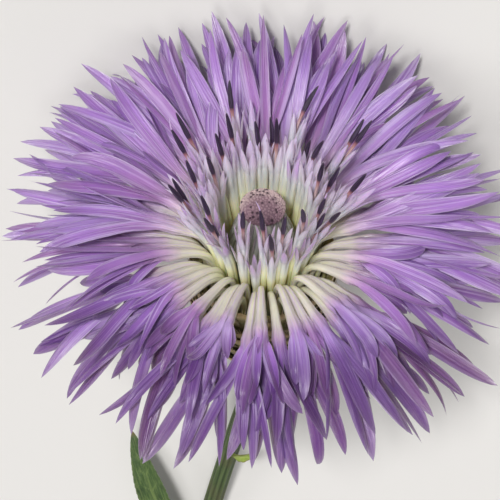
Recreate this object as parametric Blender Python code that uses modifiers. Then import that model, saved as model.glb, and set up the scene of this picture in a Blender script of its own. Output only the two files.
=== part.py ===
"""American basket flower (Plectocephalus americanus), picked and laid on a level surface.

The cut end of the stem and the lowest petals touch the surface. The stem bends up gently into the
head, whose axis points along +Y and up. Everything above the stem is modelled in the head's own frame,
which an empty carries: its origin is the middle of the mouth of the flower cup, its +Z runs up the
head's axis, and its +Y points at the petals nearest the surface. A bearing is an angle around the
head's axis from its +X, and a rise is an angle above the mouth's plane. Lengths are millimetres and
angles degrees, until a mesh or a sine needs metres or radians.
"""

import math

import bpy
import numpy as np

MM = 0.001
GAP = 0.3                         # clearance between neighbouring pieces

HEAD_TILT = 25.0                  # head axis above the surface
HEAD_PLACE = (0.8, 32.5)          # mouth's middle, so that the origin is under the middle of the part
CUP_DEPTH = 30.0                  # mouth of the cup down to the top of the stem
CUP_SHOULDER_DEPTH = 7.0          # mouth of the cup down to its widest part
CUP_RADIUS = 15.0
CUP_WALL = 0.9
FLOOR_DEPTH = 10.0                # mouth of the cup down to the receptacle the florets stand on
FLOOR_RADIUS = 13.1

STEM_LENGTH = 92.0
STEM_RADIUS = 2.5
STEM_RIBS = 10
STEM_GROOVE = 0.88                # radius in a groove, as a share of the radius on a rib
NECK_RADIUS = 3.5                 # swelling below the head
NECK_FADE = 9.0                   # length over which the swelling dies away
STEM_YAW_START = 5.0              # sideways lean of the stem where it leaves the cup
STEM_YAW_END = 14.0               # and from STEM_YAW_REACH on
STEM_YAW_REACH = 30.0

PHYLLARY_ROWS = 5
PHYLLARIES_PER_ROW = 12
PHYLLARY_PITCH = 5.2              # from one row's foot to the next
PHYLLARY_LENGTH = 9.1
PHYLLARY_NOTCH = 2.9              # depth of the notch between two tips
PHYLLARY_THICKNESS = 0.8

COLUMN_FOOT_RADIUS = 6.6
COLUMN_WAIST_RADIUS = 7.6         # at the mouth
COLUMN_FLARE_RADIUS = 8.9
COLUMN_FLARE_HEIGHT = 7.0
COLUMN_TOP_RADIUS = 4.9
COLUMN_TOP_HEIGHT = 18.5
DOME_RADIUS = 5.4
DOME_SKIRT = 0.7
DOME_HEIGHT = 2.9

TUBE_START_RISE = 82.0            # every floret's tube starts to climb at this rise
TUBE_STEPS = 90

DISC_FLORETS = 18
DISC_RING_RADIUS = 9.05           # at the mouth
DISC_TUBE_LENGTH = 24.0           # of the florets that stand upright
DISC_TUBE_EXTRA = 9.5             # more on those that lean out the furthest
DISC_LOBE_LENGTH = 5.0
DISC_BEND = (12.0, 30.0)          # distances up the tube between which it bends
DISC_LEAN = 18.0                  # how far an inner floret leans out
DISC_LEAN_OUTER = 20.0            # and how much further every second one does
ANTHER_LENGTH = 6.5
DISC_SIDES = 10                   # five ridges, which are the lobes, and five valleys

# Stations along a ray floret's tube, from the receptacle to the throat, and the tube's radius there.
RAY_STATIONS = np.array([0.0, 4.0, 9.8, 14.0, 18.0, 22.0, 26.0])
RAY_RADII = np.array([0.75, 0.62, 0.66, 0.82, 0.92, 1.05, 1.35])
RAY_WALL = 0.45
RAY_LOBES = 5                     # one lobe grows from each side of the tube
RAY_BEND_END = 24.0

# Stations along a lobe as shares of its length, and its width there as a share of LOBE_WIDTH.
LOBE_STATIONS = np.array([0.0, 0.16, 0.38, 0.62, 0.84, 1.0])
LOBE_WIDTHS = np.array([0.43, 0.72, 1.0, 0.88, 0.5, 0.0])
LOBE_WIDTH = 3.4
LOBE_FAN = 21.0                   # how far the outermost lobes swing to the side
LOBE_LIFT = 4.0                   # how far the upper and lower lobes part
LOBE_OPEN = 0.4                   # share of the length over which a lobe swings out and turns flat
LOBE_DROOP = 23.0                 # how much lower a lobe's tip points than its tube
LOBE_DROOP_LEAN = 11.0            # less of that towards the surface, more away from it
LOBE_ROLL = 14.0

# Each whorl of ray florets: how many, first bearing, ring radius at the mouth, distance up the tube
# at which it starts to bend, rise of its end, how much more it rises towards the surface, and length
# of the lobes.
WHORLS = {
    "lower": dict(count=10, bearing=0.0, radius=13.1, bend=9.8, rise=2.0, lean=21.0, lobe=34.5),
    "middle": dict(count=10, bearing=18.0, radius=11.9, bend=11.0, rise=12.0, lean=21.5, lobe=34.0),
    "upper": dict(count=10, bearing=0.0, radius=10.9, bend=12.2, rise=23.0, lean=21.0, lobe=31.5),
}

LEAF_LENGTH = 46.0
LEAF_WIDTH = 12.0
LEAF_FOLD = 0.22                  # rise of the blade's edges, as a share of its half-width
BRACT_WIDTH = 4.4
BRACT_FOLD = 0.3
BLADE_THICKNESS = 0.7

SURFACE_SOFTNESS = 2.0            # height over which a petal eases down onto the surface

rng = np.random.default_rng(31)


def clear_scene():
    for item in list(bpy.data.objects):
        bpy.data.objects.remove(item, do_unlink=True)


def new_collection(name):
    collection = bpy.data.collections.new(name)
    bpy.context.scene.collection.children.link(collection)
    return collection


def make_material(name, colour, roughness):
    material = bpy.data.materials.new(name)
    material.use_nodes = True
    shader = material.node_tree.nodes["Principled BSDF"]
    shader.inputs["Base Color"].default_value = (*colour, 1.0)
    shader.inputs["Roughness"].default_value = roughness
    shader.inputs["Metallic"].default_value = 0.0
    return material


def place(item, collection, material, carrier=None):
    """Put a finished object in its collection, with its material and the empty that carries it."""
    collection.objects.link(item)
    item.data.materials.append(material)
    item.parent = carrier


def mesh_object(name, points, faces):
    mesh = bpy.data.meshes.new(name)
    mesh.from_pydata((np.asarray(points) * MM).tolist(), [], faces)
    return bpy.data.objects.new(name, mesh)


def thicken(item, thickness):
    shell = item.modifiers.new("Thickness", "SOLIDIFY")
    shell.thickness = thickness * MM
    shell.offset = 0.0


def turned(name, profile, steps):
    """A Screw of a profile of (radius, height) pairs, which runs down its outer side."""
    points = [(radius * MM, 0.0, height * MM) for radius, height in profile]
    edges = [(i, i + 1) for i in range(len(points) - 1)]
    mesh = bpy.data.meshes.new(name)
    mesh.from_pydata(points, edges, [])
    item = bpy.data.objects.new(name, mesh)
    screw = item.modifiers.new("Turn", "SCREW")
    screw.steps = steps
    screw.render_steps = steps
    screw.use_merge_vertices = True
    screw.merge_threshold = 0.00001
    screw.use_normal_calculate = True
    return item


def band(low, high, count):
    """Quads between two rings of count points that start at the indices low and high."""
    following = [(i + 1) % count for i in range(count)]
    return [(low + i, low + j, high + j, high + i) for i, j in enumerate(following)]


def unit(vectors):
    return vectors / np.linalg.norm(vectors, axis=-1, keepdims=True)


# Stem. Its centreline leaves the foot of the cup along the head's axis and loses all of its pitch at
# a steady rate, so that the cut end lies flat on the surface.

def stem_line(distance):
    """Centreline of the stem this far below the cup, from the mouth's middle, in upright axes."""
    steps = 60
    along = (np.arange(steps) + 0.5) * distance / steps
    pitch = np.radians(HEAD_TILT) * (1.0 - along / STEM_LENGTH)
    settled = np.minimum(along / STEM_YAW_REACH, 1.0)
    yaw = np.radians(STEM_YAW_START + (STEM_YAW_END - STEM_YAW_START) * settled)
    back = np.cos(pitch)
    down = -np.stack([back * np.sin(yaw), back * np.cos(yaw), np.sin(pitch)], axis=1)
    tilt = math.radians(HEAD_TILT)
    foot = -(CUP_DEPTH + GAP) * np.array([0.0, math.cos(tilt), math.sin(tilt)])
    return foot + down.sum(axis=0) * distance / steps


MOUTH = np.array([*HEAD_PLACE, STEM_RADIUS - stem_line(STEM_LENGTH)[2]])


def add_stem(collection, guides, material):
    """A curve along the centreline whose section is a ribbed outline, swelling into the neck."""
    outline = bpy.data.curves.new("stem_section", "CURVE")
    outline.dimensions = "2D"
    section = outline.splines.new("POLY")
    section.points.add(2 * STEM_RIBS - 1)
    section.use_cyclic_u = True
    for i, point in enumerate(section.points):
        turn = -math.pi * i / STEM_RIBS
        radius = MM * (STEM_GROOVE if i % 2 else 1.0)
        point.co = (radius * math.cos(turn), radius * math.sin(turn), 0.0, 1.0)
    guide = bpy.data.objects.new("stem_section", outline)
    guide.hide_render = True
    guide.display_type = "WIRE"
    guides.objects.link(guide)

    line = bpy.data.curves.new("stem", "CURVE")
    line.dimensions = "3D"
    line.bevel_mode = "OBJECT"
    line.bevel_object = guide
    line.use_fill_caps = True
    spline = line.splines.new("POLY")
    stations = np.concatenate([[0.0, 3.0, 7.0, 13.0], np.linspace(22.0, STEM_LENGTH, 8)])
    spline.points.add(len(stations) - 1)
    for point, distance in zip(spline.points, stations):
        point.co = (*((MOUTH + stem_line(distance)) * MM), 1.0)
        point.radius = STEM_RADIUS + (NECK_RADIUS - STEM_RADIUS) * math.exp(-distance / NECK_FADE)
    place(bpy.data.objects.new("stem", line), collection, material)


# Leaves. A lance-shaped blade, folded a little along its midrib, is a sheet with Solidify.

def blade(name, line, width, fold, facing):
    """A sheet of left edge, midrib and right edge. Its half-width grows fast from a narrow foot, is
    widest near the middle, and runs out into a rounded point."""
    t = np.linspace(0.0, 1.0, len(line))[:, None]
    half = width * (0.1 * (1.0 - t) ** 3 + 1.05 * t ** 0.7 * (1.0 - t) ** 0.8)
    along = unit(np.gradient(line, axis=0))
    side = unit(np.cross(along, facing))
    up = np.cross(side, along) * fold * half
    rows = len(line) - 1
    left = (line - side * half + up)[:rows]
    right = (line + side * half + up)[:rows]
    points = np.concatenate([left, line[:rows], right, line[rows:]])
    tip = 3 * rows
    faces = [(rows - 1, tip, 2 * rows - 1), (2 * rows - 1, tip, tip - 1)]
    for near in (0, rows):
        far = near + rows
        faces += [(near + i, near + i + 1, far + i + 1, far + i) for i in range(rows - 1)]
    item = mesh_object(name, points, faces)
    thicken(item, BLADE_THICKNESS)
    return item


def curved_line(start, middle, end, count):
    """Points of a quadratic Bezier curve from start to end, drawn towards middle."""
    t = np.linspace(0.0, 1.0, count)[:, None]
    return start * (1.0 - t) ** 2 + 2.0 * middle * t * (1.0 - t) + end * t ** 2


def add_stem_leaf(collection, material):
    """The leaf sits on the stem near its cut end and reaches forwards beside it."""
    foot = MOUTH + stem_line(STEM_LENGTH - 8.0) + np.array([-STEM_RADIUS - 1.2, 0.0, 0.6])
    middle = foot + np.array([-6.0, 0.45 * LEAF_LENGTH, 9.0])
    end = foot + np.array([-12.0, 0.93 * LEAF_LENGTH, 3.0])
    line = curved_line(foot, middle, end, 9)
    place(blade("stem_leaf", line, LEAF_WIDTH, LEAF_FOLD, (-0.25, 0.0, 1.0)), collection, material)


def add_bract_leaf(collection, material):
    """A small leaf on top of the neck of the stem, curling away to the right."""
    foot = MOUTH + stem_line(STEM_LENGTH / 2 - 2.0) + np.array([0.3, 0.0, STEM_RADIUS + 0.9])
    middle = foot + np.array([1.5, 2.0, 4.5])
    end = foot + np.array([6.8, 3.5, 4.0])
    line = curved_line(foot, middle, end, 6)
    place(blade("bract_leaf", line, BRACT_WIDTH, BRACT_FOLD, (-0.2, -0.5, 1.0)), collection, material)


# Flower cup. The hollow receptacle carries the florets inside and the bracts (phyllaries) outside.

def cup_side():
    """Outer side of the cup, from its rim down to the stem: (radius, height) on a rounded bowl."""
    turns = np.radians(np.linspace(0.0, 78.0, 8))
    radius = NECK_RADIUS + (CUP_RADIUS - NECK_RADIUS) * np.cos(turns) ** 0.9
    fall = (np.sin(turns) / math.sin(turns[-1])) ** 1.35
    height = -CUP_SHOULDER_DEPTH - (CUP_DEPTH - CUP_SHOULDER_DEPTH) * fall
    rim = [[CUP_RADIUS - 0.2, -2.0]]
    return np.concatenate([rim, np.stack([radius, height], axis=1)])


def cup_radius(height):
    outline = cup_side()[::-1]
    return np.interp(height, outline[:, 1], outline[:, 0])


def add_receptacle_cup(collection, head, material):
    outer = cup_side()
    rim_radius = outer[0][0]
    inner = [(0.0, -FLOOR_DEPTH), (FLOOR_RADIUS, -FLOOR_DEPTH), (rim_radius - CUP_WALL, -4.5)]
    lip = [(rim_radius - CUP_WALL / 2, -1.5)]
    foot = [(0.0, -CUP_DEPTH)]
    profile = inner + lip + outer.tolist() + foot
    place(turned("receptacle_cup", profile, 24), collection, material, head)


def add_phyllary_row(collection, head, material, row):
    """One row of bracts: a sheathing strip whose upper edge is cut into pointed tips. Its lower half
    hugs the cup, and its upper half steps out over the foot of the next row."""
    foot = 2.0 - CUP_DEPTH + row * PHYLLARY_PITCH
    near = GAP + PHYLLARY_THICKNESS / 2
    far = near + PHYLLARY_THICKNESS + GAP
    columns = 2 * PHYLLARIES_PER_ROW
    bearings = math.pi / PHYLLARIES_PER_ROW * (np.arange(columns) + row % 2)
    is_tip = np.arange(columns) % 2 == 0
    edge = foot + PHYLLARY_LENGTH - np.where(is_tip, 0.0, PHYLLARY_NOTCH)
    step = foot + PHYLLARY_PITCH
    rings = [(foot, near), (step - 1.3, near), (step - 0.2, far), (edge, far)]
    points = []
    for height, offset in rings:
        height = np.broadcast_to(height, columns)
        radius = cup_radius(height) + offset
        points.append(np.stack([radius * np.cos(bearings), radius * np.sin(bearings), height], axis=1))
    faces = []
    for ring in range(len(rings) - 1):
        faces += band(ring * columns, (ring + 1) * columns, columns)
    item = mesh_object(f"phyllary_row_{row + 1}", np.concatenate(points), faces)
    thicken(item, PHYLLARY_THICKNESS)
    place(item, collection, material, head)


# Middle of the disc. A column of bristles and unopened florets stands under a dome of bud tips.

def add_bud_column(collection, head, material):
    floor = GAP - FLOOR_DEPTH
    shoulder_radius = 0.5 * (COLUMN_TOP_RADIUS + COLUMN_FLARE_RADIUS) + 0.3
    shoulder_height = 0.5 * (COLUMN_TOP_HEIGHT + COLUMN_FLARE_HEIGHT)
    profile = [
        (0.0, COLUMN_TOP_HEIGHT),
        (COLUMN_TOP_RADIUS, COLUMN_TOP_HEIGHT),
        (shoulder_radius, shoulder_height),
        (COLUMN_FLARE_RADIUS, COLUMN_FLARE_HEIGHT),
        (COLUMN_WAIST_RADIUS, 0.0),
        (COLUMN_FOOT_RADIUS, floor),
        (0.0, floor),
    ]
    place(turned("bud_column", profile, 20), collection, material, head)


def add_bud_dome(collection, head, material):
    base = COLUMN_TOP_HEIGHT + GAP
    crown = base + DOME_SKIRT
    profile = [(0.0, crown + DOME_HEIGHT)]
    for turn in np.radians([67.5, 45.0, 22.5, 0.0]):
        profile.append((DOME_RADIUS * math.cos(turn), crown + DOME_HEIGHT * math.sin(turn)))
    profile += [(DOME_RADIUS - DOME_SKIRT, base), (0.0, base)]
    place(turned("bud_dome", profile, 20), collection, material, head)


# Florets. Every corolla follows a line that climbs out of the cup and leans away from the axis.

def lie_on_surface(points, clearance):
    """Raise points of the head's frame that would sink into the surface, so that they lie along it."""
    tilt = math.radians(HEAD_TILT)
    up = np.array([0.0, -math.cos(tilt), math.sin(tilt)])
    height = MOUTH[2] + points @ up - clearance
    raised = SURFACE_SOFTNESS * np.logaddexp(0.0, height / SURFACE_SOFTNESS)
    return points + (raised - height)[:, None] * up


def heading(bearing, rise):
    """Unit vectors with this bearing and this rise, both in radians."""
    level = np.cos(rise)
    return np.stack([level * np.cos(bearing), level * np.sin(bearing), np.sin(rise)], axis=-1)


def tube_line(bearing, mouth_radius, end_rise, stations, bend):
    """Centreline at these distances from the receptacle: it climbs steeply, then bends to end_rise."""
    start_rise = math.radians(TUBE_START_RISE)
    travelled = np.linspace(0.0, stations[-1], TUBE_STEPS)
    share = np.clip((travelled - bend[0]) / (bend[1] - bend[0]), 0.0, 1.0)
    rise = start_rise + (end_rise - start_rise) * share * share * (3.0 - 2.0 * share)
    steps = heading(np.full(TUBE_STEPS, bearing), rise) * travelled[1]
    foot_radius = mouth_radius - FLOOR_DEPTH / math.tan(start_rise)
    foot = np.array([foot_radius * math.cos(bearing), foot_radius * math.sin(bearing), GAP - FLOOR_DEPTH])
    line = foot + np.cumsum(steps, axis=0) - steps[0]
    return np.stack([np.interp(stations, travelled, line[:, axis]) for axis in range(3)], axis=1)


def tube_rings(line, radii, sides, bearing):
    """Rings of points around a line that lies in the plane of this bearing: (station, side, xyz).
    Radii has a row for each station, and one column, or one for each side."""
    along = unit(np.gradient(line, axis=0))
    across = np.array([-math.sin(bearing), math.cos(bearing), 0.0])
    over = np.cross(along, across)
    turns = math.pi / 2 + math.pi / sides + 2.0 * math.pi * np.arange(sides) / sides
    around = np.cos(turns)[None, :, None] * across + np.sin(turns)[None, :, None] * over[:, None, :]
    return line[:, None, :] + around * radii[:, :, None]


def lobe_edges(root, tube_rise, tip_rise, bearing, swing, lift, length, roll):
    """Left edge, right edge and tip of a lobe that grows from the two root points. It leaves in line
    with its tube, swings out, turns its face to the light and droops to tip_rise."""
    t = LOBE_STATIONS
    ease = np.minimum(t / LOBE_OPEN, 1.0)
    rise = tube_rise + lift * ease + (tip_rise - tube_rise) * t
    ahead = heading(bearing + swing * ease, rise)
    steps = 0.5 * (ahead[1:] + ahead[:-1]) * np.diff(t)[:, None] * length
    line = root.mean(axis=0) + np.concatenate([np.zeros((1, 3)), np.cumsum(steps, axis=0)])
    across = np.array([-math.sin(bearing), math.cos(bearing), 0.0])
    over = unit(np.cross(ahead, across))
    level = np.cross(over, ahead)
    edge = unit(root[1] - root[0])
    face = level * math.cos(roll) + over * math.sin(roll)
    face *= np.sign(face @ edge)[:, None]
    sideways = unit(edge * (1.0 - ease[:, None]) + face * ease[:, None])
    half = sideways * (0.5 * LOBE_WIDTH * LOBE_WIDTHS)[:, None]
    return (line - half)[1:-1], (line + half)[1:-1], line[-1:]


def add_ray_floret(collection, head, material, name, whorl, bearing):
    """A sterile floret of the showy rim: a thin tube that splits into five long pointed lobes."""
    lean = math.sin(bearing)
    tube_rise = math.radians(whorl["rise"] + whorl["lean"] * lean)
    tip_rise = tube_rise - math.radians(LOBE_DROOP - LOBE_DROOP_LEAN * lean)
    bend = (whorl["bend"], RAY_BEND_END)
    line = tube_line(bearing, whorl["radius"], tube_rise, RAY_STATIONS, bend)
    tube = tube_rings(line, RAY_RADII[:, None], RAY_LOBES, bearing)
    points = [tube.reshape(-1, 3)]
    faces = [tuple(reversed(range(RAY_LOBES)))]
    for ring in range(len(RAY_STATIONS) - 1):
        faces += band(ring * RAY_LOBES, (ring + 1) * RAY_LOBES, RAY_LOBES)
    rim = (len(RAY_STATIONS) - 1) * RAY_LOBES
    first = rim + RAY_LOBES
    inner = len(LOBE_STATIONS) - 2
    for lobe in range(RAY_LOBES):
        beside = (lobe + 1) % RAY_LOBES
        turn = math.pi / 2 + 2.0 * math.pi * (lobe + 1) / RAY_LOBES
        swing = math.radians(LOBE_FAN * math.cos(turn) + rng.uniform(-2.0, 2.0))
        lift = math.radians(LOBE_LIFT * math.sin(turn))
        length = whorl["lobe"] * rng.uniform(0.93, 1.03)
        roll = math.radians(rng.uniform(-LOBE_ROLL, LOBE_ROLL))
        root = tube[-1, [lobe, beside]]
        points += lobe_edges(root, tube_rise, tip_rise, bearing, swing, lift, length, roll)
        left = [rim + lobe, *range(first, first + inner)]
        right = [rim + beside, *range(first + inner, first + 2 * inner)]
        tip = first + 2 * inner
        faces += [(left[i], right[i], right[i + 1], left[i + 1]) for i in range(inner)]
        faces.append((left[inner], right[inner], tip))
        first = tip + 1
    item = mesh_object(name, lie_on_surface(np.concatenate(points), RAY_WALL / 2), faces)
    thicken(item, RAY_WALL)
    place(item, collection, material, head)


def add_disc_floret(collection, head, material, name, index):
    """A fertile floret: a slim tube, five short lobes that stand like fins, and the anther tube. It
    is a loft, from round to a five-pointed star and back to round."""
    bearing = 2.0 * math.pi * (index + 0.5) / DISC_FLORETS
    lean = (0.5 + 0.5 * math.sin(bearing)) ** 0.35
    is_outer = index % 2
    end_rise = math.radians(90.0 - (DISC_LEAN + DISC_LEAN_OUTER * is_outer) * lean)
    throat = DISC_TUBE_LENGTH + DISC_TUBE_EXTRA * lean * (0.35 + 0.65 * is_outer)
    lobe_tip = throat + DISC_LOBE_LENGTH
    anther_tip = lobe_tip + ANTHER_LENGTH
    # distance up the floret, radius in the valleys, radius on the ridges
    sections = np.array([
        (0.0, 0.6, 0.6),
        (5.0, 0.5, 0.5),
        (9.8, 0.5, 0.5),
        (16.0, 0.55, 0.55),
        (throat, 0.9, 0.9),
        (throat + 1.5, 0.75, 1.15),
        (lobe_tip, 0.65, 1.35),
        (lobe_tip + 0.4, 0.62, 0.62),
        (anther_tip - 1.2, 0.5, 0.5),
        (anther_tip, 0.15, 0.15),
    ])
    line = tube_line(bearing, DISC_RING_RADIUS, end_rise, sections[:, 0], DISC_BEND)
    radii = np.tile(sections[:, [2, 1]], DISC_SIDES // 2)
    surface = tube_rings(line, radii, DISC_SIDES, bearing)
    last = (len(sections) - 1) * DISC_SIDES
    faces = [tuple(reversed(range(DISC_SIDES))), tuple(range(last, last + DISC_SIDES))]
    for ring in range(len(sections) - 1):
        faces += band(ring * DISC_SIDES, (ring + 1) * DISC_SIDES, DISC_SIDES)
    place(mesh_object(name, surface.reshape(-1, 3), faces), collection, material, head)


def build():
    clear_scene()
    flower = new_collection("basket_flower")
    guides = new_collection("guides")
    head = bpy.data.objects.new("head", None)
    head.location = MOUTH * MM
    head.rotation_euler = (math.radians(HEAD_TILT - 90.0), 0.0, 0.0)
    flower.objects.link(head)

    stem_green = make_material("stem_green", (0.06, 0.10, 0.035), 0.6)
    leaf_green = make_material("leaf_green", (0.07, 0.13, 0.04), 0.55)
    bract_green = make_material("bract_green", (0.22, 0.28, 0.08), 0.6)
    cup_green = make_material("cup_green", (0.28, 0.32, 0.14), 0.7)
    phyllary_straw = make_material("phyllary_straw", (0.55, 0.45, 0.22), 0.7)
    bristle_cream = make_material("bristle_cream", (0.50, 0.50, 0.36), 0.6)
    bud_mauve = make_material("bud_mauve", (0.24, 0.13, 0.17), 0.75)
    disc_cream = make_material("disc_cream", (0.66, 0.60, 0.62), 0.5)
    petal_mauve = make_material("petal_mauve", (0.40, 0.22, 0.52), 0.5)

    add_stem(flower, guides, stem_green)
    add_stem_leaf(flower, leaf_green)
    add_bract_leaf(flower, bract_green)
    add_receptacle_cup(flower, head, cup_green)
    for row in range(PHYLLARY_ROWS):
        add_phyllary_row(flower, head, phyllary_straw, row)
    add_bud_column(flower, head, bristle_cream)
    add_bud_dome(flower, head, bud_mauve)
    for index in range(DISC_FLORETS):
        add_disc_floret(flower, head, disc_cream, f"disc_floret_{index + 1:02d}", index)
    for title, whorl in WHORLS.items():
        for index in range(whorl["count"]):
            bearing = math.radians(whorl["bearing"] + 360.0 * index / whorl["count"])
            add_ray_floret(flower, head, petal_mauve, f"ray_floret_{title}_{index + 1:02d}", whorl, bearing)


build()
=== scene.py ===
"""Looks of an American basket flower, picked and laid down. Lengths are millimetres, angles degrees.

The file follows the flower as it grows, from the stem to the ray florets. The stage comes last.
"""

import math

import bpy
import numpy as np
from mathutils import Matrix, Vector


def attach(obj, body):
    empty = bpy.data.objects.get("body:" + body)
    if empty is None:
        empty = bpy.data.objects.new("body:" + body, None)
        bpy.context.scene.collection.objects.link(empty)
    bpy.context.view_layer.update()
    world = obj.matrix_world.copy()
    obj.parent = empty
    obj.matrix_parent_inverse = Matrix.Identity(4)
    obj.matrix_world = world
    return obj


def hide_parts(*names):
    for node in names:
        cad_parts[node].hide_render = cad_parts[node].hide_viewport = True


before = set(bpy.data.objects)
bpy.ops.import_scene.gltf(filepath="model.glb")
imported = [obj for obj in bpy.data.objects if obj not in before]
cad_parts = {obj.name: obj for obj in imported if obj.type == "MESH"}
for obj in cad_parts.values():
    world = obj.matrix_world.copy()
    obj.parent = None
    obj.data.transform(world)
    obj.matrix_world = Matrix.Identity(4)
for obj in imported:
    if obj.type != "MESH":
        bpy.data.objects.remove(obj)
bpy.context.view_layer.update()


# Stem: a green, ribbed stalk with a pale pith, swollen under the flower head and cut off with a
# blade. It bends evenly from the head's tilt down to the surface, and everything else grows on it.

MM = 0.001
FULL_TURN = 2 * math.pi
QUARTER = 0.5 * math.pi
UP = np.array([0, 0, 1])
HEAD_TILT = math.radians(25)
CUP_DEPTH = 30.3
STEM_LENGTH = 92
STEM_RADIUS = 2.5
NECK_SWELL = 1
NECK_FADE = 9
STEM_RIBS = 10
STEM_GREEN = (58, 76, 42)
STEM_DARK = (30, 44, 26)
STEM_RIB = (104, 120, 74)
PITH = (206, 208, 168)
SHADER = "Principled BSDF"
RIND = (92, 112, 58)


def spoke(bearing):
    """Unit vectors square to the third axis, at this bearing around it."""
    return np.stack([np.cos(bearing), np.sin(bearing), np.zeros_like(bearing)], axis=-1)


def heading(bearing, rise):
    """Unit vectors at this bearing around the third axis, and this rise towards it."""
    return spoke(bearing) * np.cos(rise)[..., None] + UP * np.sin(rise)[..., None]


def stem_line(distance):
    """Centreline below the cup, from the mouth's middle: the pitch falls evenly from the head's tilt to
    level, the yaw turns from 5 to 14 degrees over the first 30 mm, and the directions are summed."""
    along = (np.arange(60) + 0.5) * distance / 60
    pitch = HEAD_TILT * (1 - along / STEM_LENGTH)
    yaw = np.radians(5 + 9 * np.minimum(along / 30, 1))
    steps = heading(QUARTER - yaw, pitch) * distance / 60
    return -CUP_DEPTH * heading(QUARTER, HEAD_TILT) - steps.sum(axis=0)


MOUTH = np.array([0.8, 32.5, STEM_RADIUS - stem_line(STEM_LENGTH)[2]])


def unit(vectors):
    """Each vector divided by its length."""
    return vectors / np.maximum(np.linalg.norm(vectors, axis=-1, keepdims=True), 1e-12)


def smooth(share):
    """The curve 3x^2 - 2x^3 between 0 and 1, flat beyond."""
    share = np.clip(share, 0, 1)
    return share * share * (3 - 2 * share)


def lengths_along(line):
    """Distance along a line at each of its points."""
    return np.append(0, np.cumsum(np.linalg.norm(np.diff(line, axis=0), axis=1)))


def sheet(points, lay, tone, flipped=False, foot=None):
    """A grid of points, each with two vectors: lay is (mm across, mm along, seed), and tone is (reach
    along the piece, distance from its midline, tint). A foot is one point that closes its start."""
    shape = points.shape[:2]
    grids = [points]
    for parts in (lay, tone):
        grids.append(np.stack([np.broadcast_to(part, shape) for part in parts], axis=-1))
    if foot is not None:
        pole = np.broadcast_to(foot, (1, shape[1], 3))
        grids = [np.concatenate(pair) for pair in zip((pole, grids[1][:1], grids[2][:1]), grids)]
    return (*grids, flipped)


def new_object(name, data):
    """An object with this data, put in the scene."""
    made = bpy.data.objects.new(name, data)
    bpy.context.scene.collection.objects.link(made)
    return made


def skin(name, sheets, material, nodes=()):
    """One piece from sheets. A cell becomes two triangles, points within a hundred-thousandth of a
    millimetre are made one, and triangles that collapse at a pole or a tip are left out. Where a
    flipped sheet meets one that isn't, the edge is thin and stays sharp, so that it catches the light."""
    grids = list(zip(*sheets))[:3]
    points, lay, tone = (np.concatenate([part.reshape(-1, 3) for part in parts]) for parts in grids)
    corners, under, first = [], [], 0
    for grid, _, _, flipped in sheets:
        rows, columns = grid.shape[:2]
        low = np.arange(first, first + (rows - 1) * columns).reshape(rows - 1, columns)[:, :-1]
        cells = (low.reshape(-1, 1) + [0, 1, columns + 1, 0, columns + 1, columns]).reshape(-1, 3)
        corners.append(cells[:, ::-1] if flipped else cells)
        under.append(np.full(len(cells), flipped))
        first += rows * columns
    corners = np.concatenate(corners)
    rounded = np.round(points * 1e5).astype(np.int64)
    _, kept, welded = np.unique(rounded, axis=0, return_index=True, return_inverse=True)
    faces = welded.reshape(-1)[corners]
    whole = (faces != np.roll(faces, 1, axis=1)).all(axis=1)
    faces, corners, under = faces[whole], corners[whole], np.concatenate(under)[whole]
    mesh = bpy.data.meshes.new(name)
    mesh.from_pydata((points[kept] * MM).tolist(), [], faces.tolist(), shade_flat=False)
    edges = np.empty(faces.size, np.int32)
    mesh.loops.foreach_get("edge_index", edges)
    flips = np.bincount(edges, weights=np.repeat(under, 3))
    thin = mesh.attributes.new("sharp_edge", "BOOLEAN", "EDGE")
    thin.data.foreach_set("value", (flips > 0) & (flips < np.bincount(edges)))
    for title, values in (("lay", lay), ("tone", tone)):
        layer = mesh.attributes.new(title, "FLOAT_VECTOR", "CORNER")
        layer.data.foreach_set("vector", values[corners.ravel()].astype(np.float32).ravel())
    mesh.materials.append(material)
    piece = new_object(name, mesh)
    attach(piece, "root")
    if nodes:
        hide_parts(*nodes)


def rings(line, radii, sides, across):
    """Closed rings around a line: each station's centre plus the radius times a spoke that turns from
    across towards the line's other normal. The last column repeats the first."""
    along = unit(np.gradient(line, axis=0))
    across = unit(across - along * (along * across).sum(axis=-1, keepdims=True))
    turns = FULL_TURN * np.append(np.arange(sides), 0)[:, None] / sides
    spokes = np.cos(turns) * across[:, None] + np.sin(turns) * np.cross(along, across)[:, None]
    return line[:, None] + spokes * radii[:, :, None]


def paint(red, green, blue):
    """A colour from 0 to 255 a channel, made linear for the shader."""
    levels = np.array([red, green, blue]) / 255
    linear = np.where(levels > 0.04045, ((levels + 0.055) / 1.055) ** 2.4, levels / 12.92)
    return (*linear.tolist(), 1)


def wire(made, sockets):
    """A node's sockets, by name or number: each takes a value or another node's output."""
    for title, value in sockets.items():
        if isinstance(value, bpy.types.NodeSocket):
            made.id_data.links.new(value, made.inputs[title])
        else:
            made.inputs[title].default_value = value


def node(tree, kind, sockets=None, **settings):
    """A shader node of this kind with its settings and sockets."""
    made = tree.nodes.new("ShaderNode" + kind)
    for title, value in settings.items():
        setattr(made, title, value)
    wire(made, sockets or {})
    return made


def maths(operation, first, second):
    """A node's output joined to another number, in the output's own tree."""
    return node(first.id_data, "Math", {0: first, 1: second}, operation=operation).outputs[0]


def spread(value, low, high, start=0, end=1):
    """The value's range from low to high, smoothly carried to start and end."""
    sockets = {0: value, 1: low, 2: high, 3: start, 4: end}
    return node(value.id_data, "MapRange", sockets, interpolation_type="SMOOTHSTEP").outputs[0]


def blend(factor, low, high, mode="MIX"):
    """Low tinted towards high by the factor. Each is a node's output or a colour from 0 to 255."""
    tints = [paint(*tint) if isinstance(tint, tuple) else tint for tint in (low, high)]
    sockets = {0: factor, 6: tints[0], 7: tints[1]}
    return node(factor.id_data, "Mix", sockets, data_type="RGBA", blend_type=mode).outputs[2]


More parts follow.
